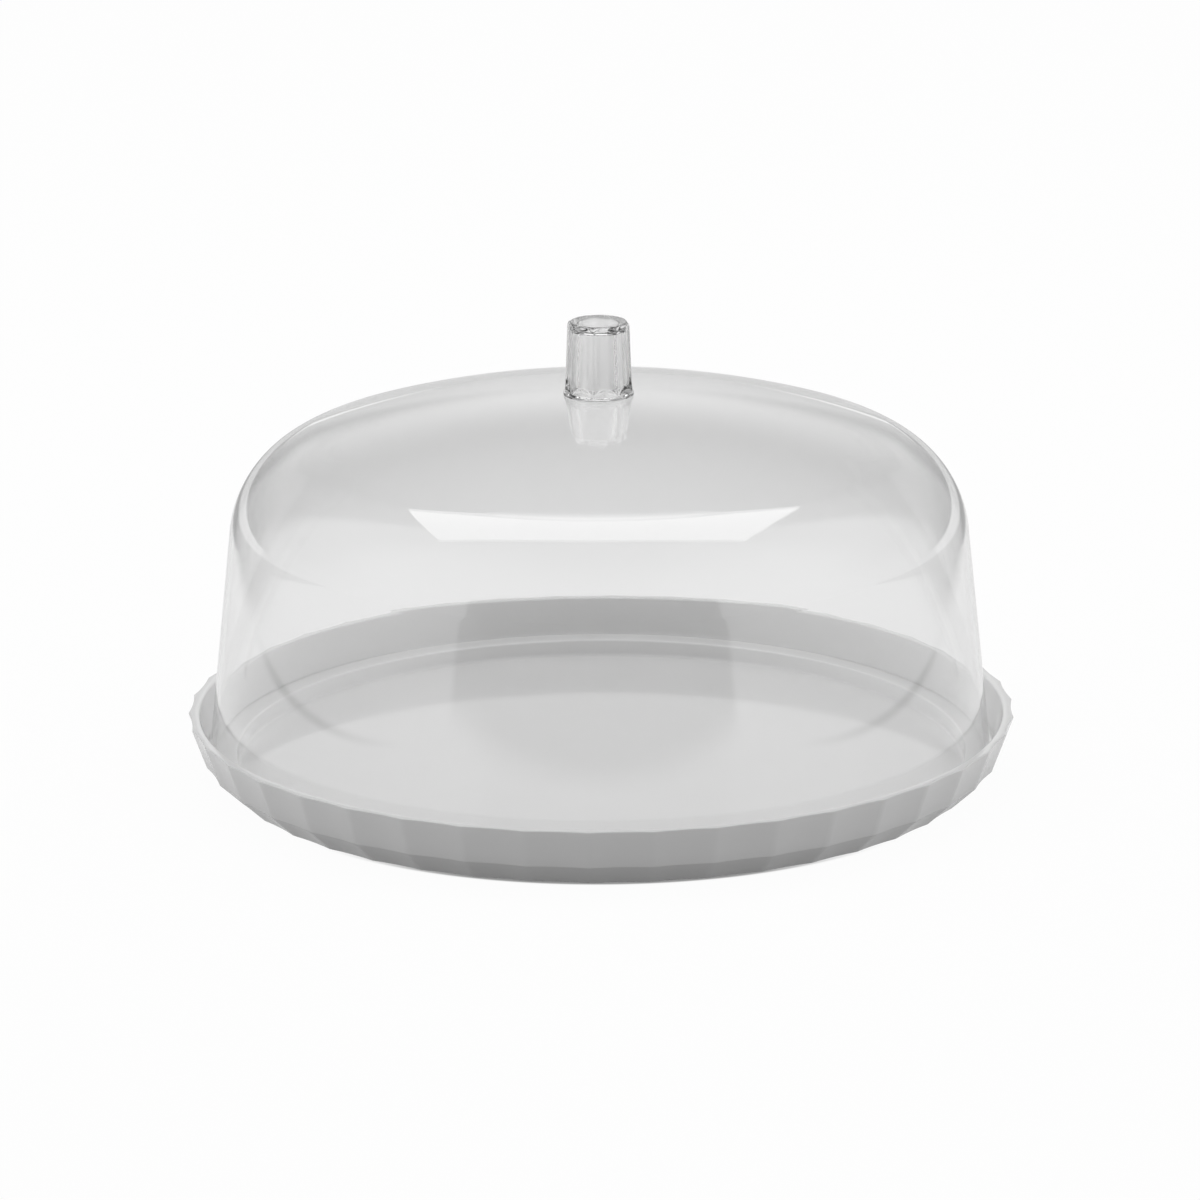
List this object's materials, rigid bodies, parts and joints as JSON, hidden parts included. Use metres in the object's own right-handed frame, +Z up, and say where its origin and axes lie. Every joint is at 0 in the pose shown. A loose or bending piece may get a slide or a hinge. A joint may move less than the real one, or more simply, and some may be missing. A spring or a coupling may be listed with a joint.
{
  "type": "cake stand with dome",
  "caption": "Low round fluted tray with a seat for a clear lift-off dome that has a clear fluted knob, for keeping and serving a cake.",
  "frame": {"origin": "centre of the foot ring, on the surface that the tray stands on", "axes": "+Z up along the axis of the tray and the dome, -Y to the front, +X to the right seen from the front"},
  "size_m": [0.3596, 0.3598, 0.1999],
  "materials": {
    "tray_plastic": "glossy moulded",
    "clear_plastic": "clear polished"
  },
  "bodies": {
    "tray": {"tray": "tray_plastic"},
    "cover": {"dome": "clear_plastic", "knob": "clear_plastic"}
  },
  "joints": [
    {"name": "cover_lift", "type": "slide", "parent": "tray", "child": "cover", "axis": [0, 0, 1], "range_m": [0, 0.16]}
  ]
}
